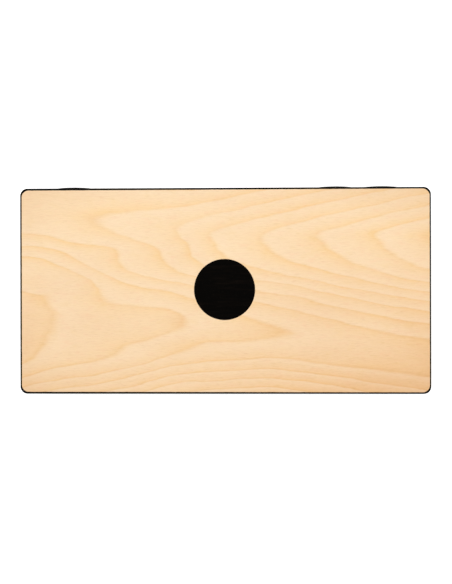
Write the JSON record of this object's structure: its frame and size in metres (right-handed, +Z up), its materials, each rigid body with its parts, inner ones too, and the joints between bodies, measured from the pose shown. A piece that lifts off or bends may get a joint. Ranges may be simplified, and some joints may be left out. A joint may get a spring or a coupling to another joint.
{
  "type": "travel cajon",
  "caption": "Shallow lap box drum: pale wood playing plate with a bare dark disc on a black lacquered box, front sound port, rubber feet and bumpers, and a dial that switches the snare.",
  "frame": {"origin": "on the floor, under the middle of the whole object", "axes": "+X to the player's right along the long side, +Y away from the player to the front panel, +Z up"},
  "size_m": [0.45, 0.2298, 0.1202],
  "materials": {
    "plate_veneer": "pale birch veneer under a satin clear lacquer",
    "disc_print": "matt black ink film",
    "black_lacquer": "satin black lacquer on birch plywood, bare inside",
    "frame_wood": "planed beech, unfinished",
    "rubber": "moulded black rubber",
    "screw_steel": "zinc-plated steel",
    "rod_steel": "drawn bright steel",
    "brass": "turned and rolled brass",
    "dial_plastic": "fine-textured moulded black plastic",
    "pointer_plastic": "white plastic pin"
  },
  "bodies": {
    "box": {"playing_plate": "plate_veneer", "plate_disc": "disc_print", "front_panel": "black_lacquer", "rear_panel": "black_lacquer", "left_panel": "black_lacquer", "right_panel": "black_lacquer", "bottom_plate": "black_lacquer", "corner_post_front_left": "frame_wood", "corner_post_front_right": "frame_wood", "corner_post_rear_left": "frame_wood", "corner_post_rear_right": "frame_wood", "top_batten_front": "frame_wood", "top_batten_rear": "frame_wood", "top_batten_left": "frame_wood", "top_batten_right": "frame_wood", "bottom_batten_front": "frame_wood", "bottom_batten_rear": "frame_wood", "bottom_batten_left": "frame_wood", "bottom_batten_right": "frame_wood", "bearing_block": "frame_wood", "stop_peg": "frame_wood", "foot_front_left": "rubber", "foot_front_right": "rubber", "foot_rear_left": "rubber", "foot_rear_right": "rubber", "bumper_left": "rubber", "bumper_right": "rubber", "foot_screws": "screw_steel", "foot_washers": "screw_steel", "bottom_screws": "screw_steel", "bumper_screws": "screw_steel", "bumper_washers": "screw_steel", "bearing_screws": "screw_steel", "friction_washer": "screw_steel", "front_bush": "brass"},
    "snare": {"snare_dial": "dial_plastic", "dial_pointer": "pointer_plastic", "dial_screw": "screw_steel", "snare_rod": "rod_steel", "shaft_collar": "rod_steel", "collar_grub_screw": "screw_steel", "snare_bar": "frame_wood", "bar_grub_screws": "screw_steel", "snare_strip_front": "brass", "snare_strip_rear": "brass", "snare_wires_front": "rod_steel", "snare_wires_rear": "rod_steel", "strip_screws": "screw_steel"}
  },
  "joints": [
    {"name": "snare_turn", "type": "hinge", "parent": "box", "child": "snare", "pos_m": [0.121, -0.00225, 0.094], "axis": [0, -1, 0], "range_deg": [0, 25]}
  ]
}
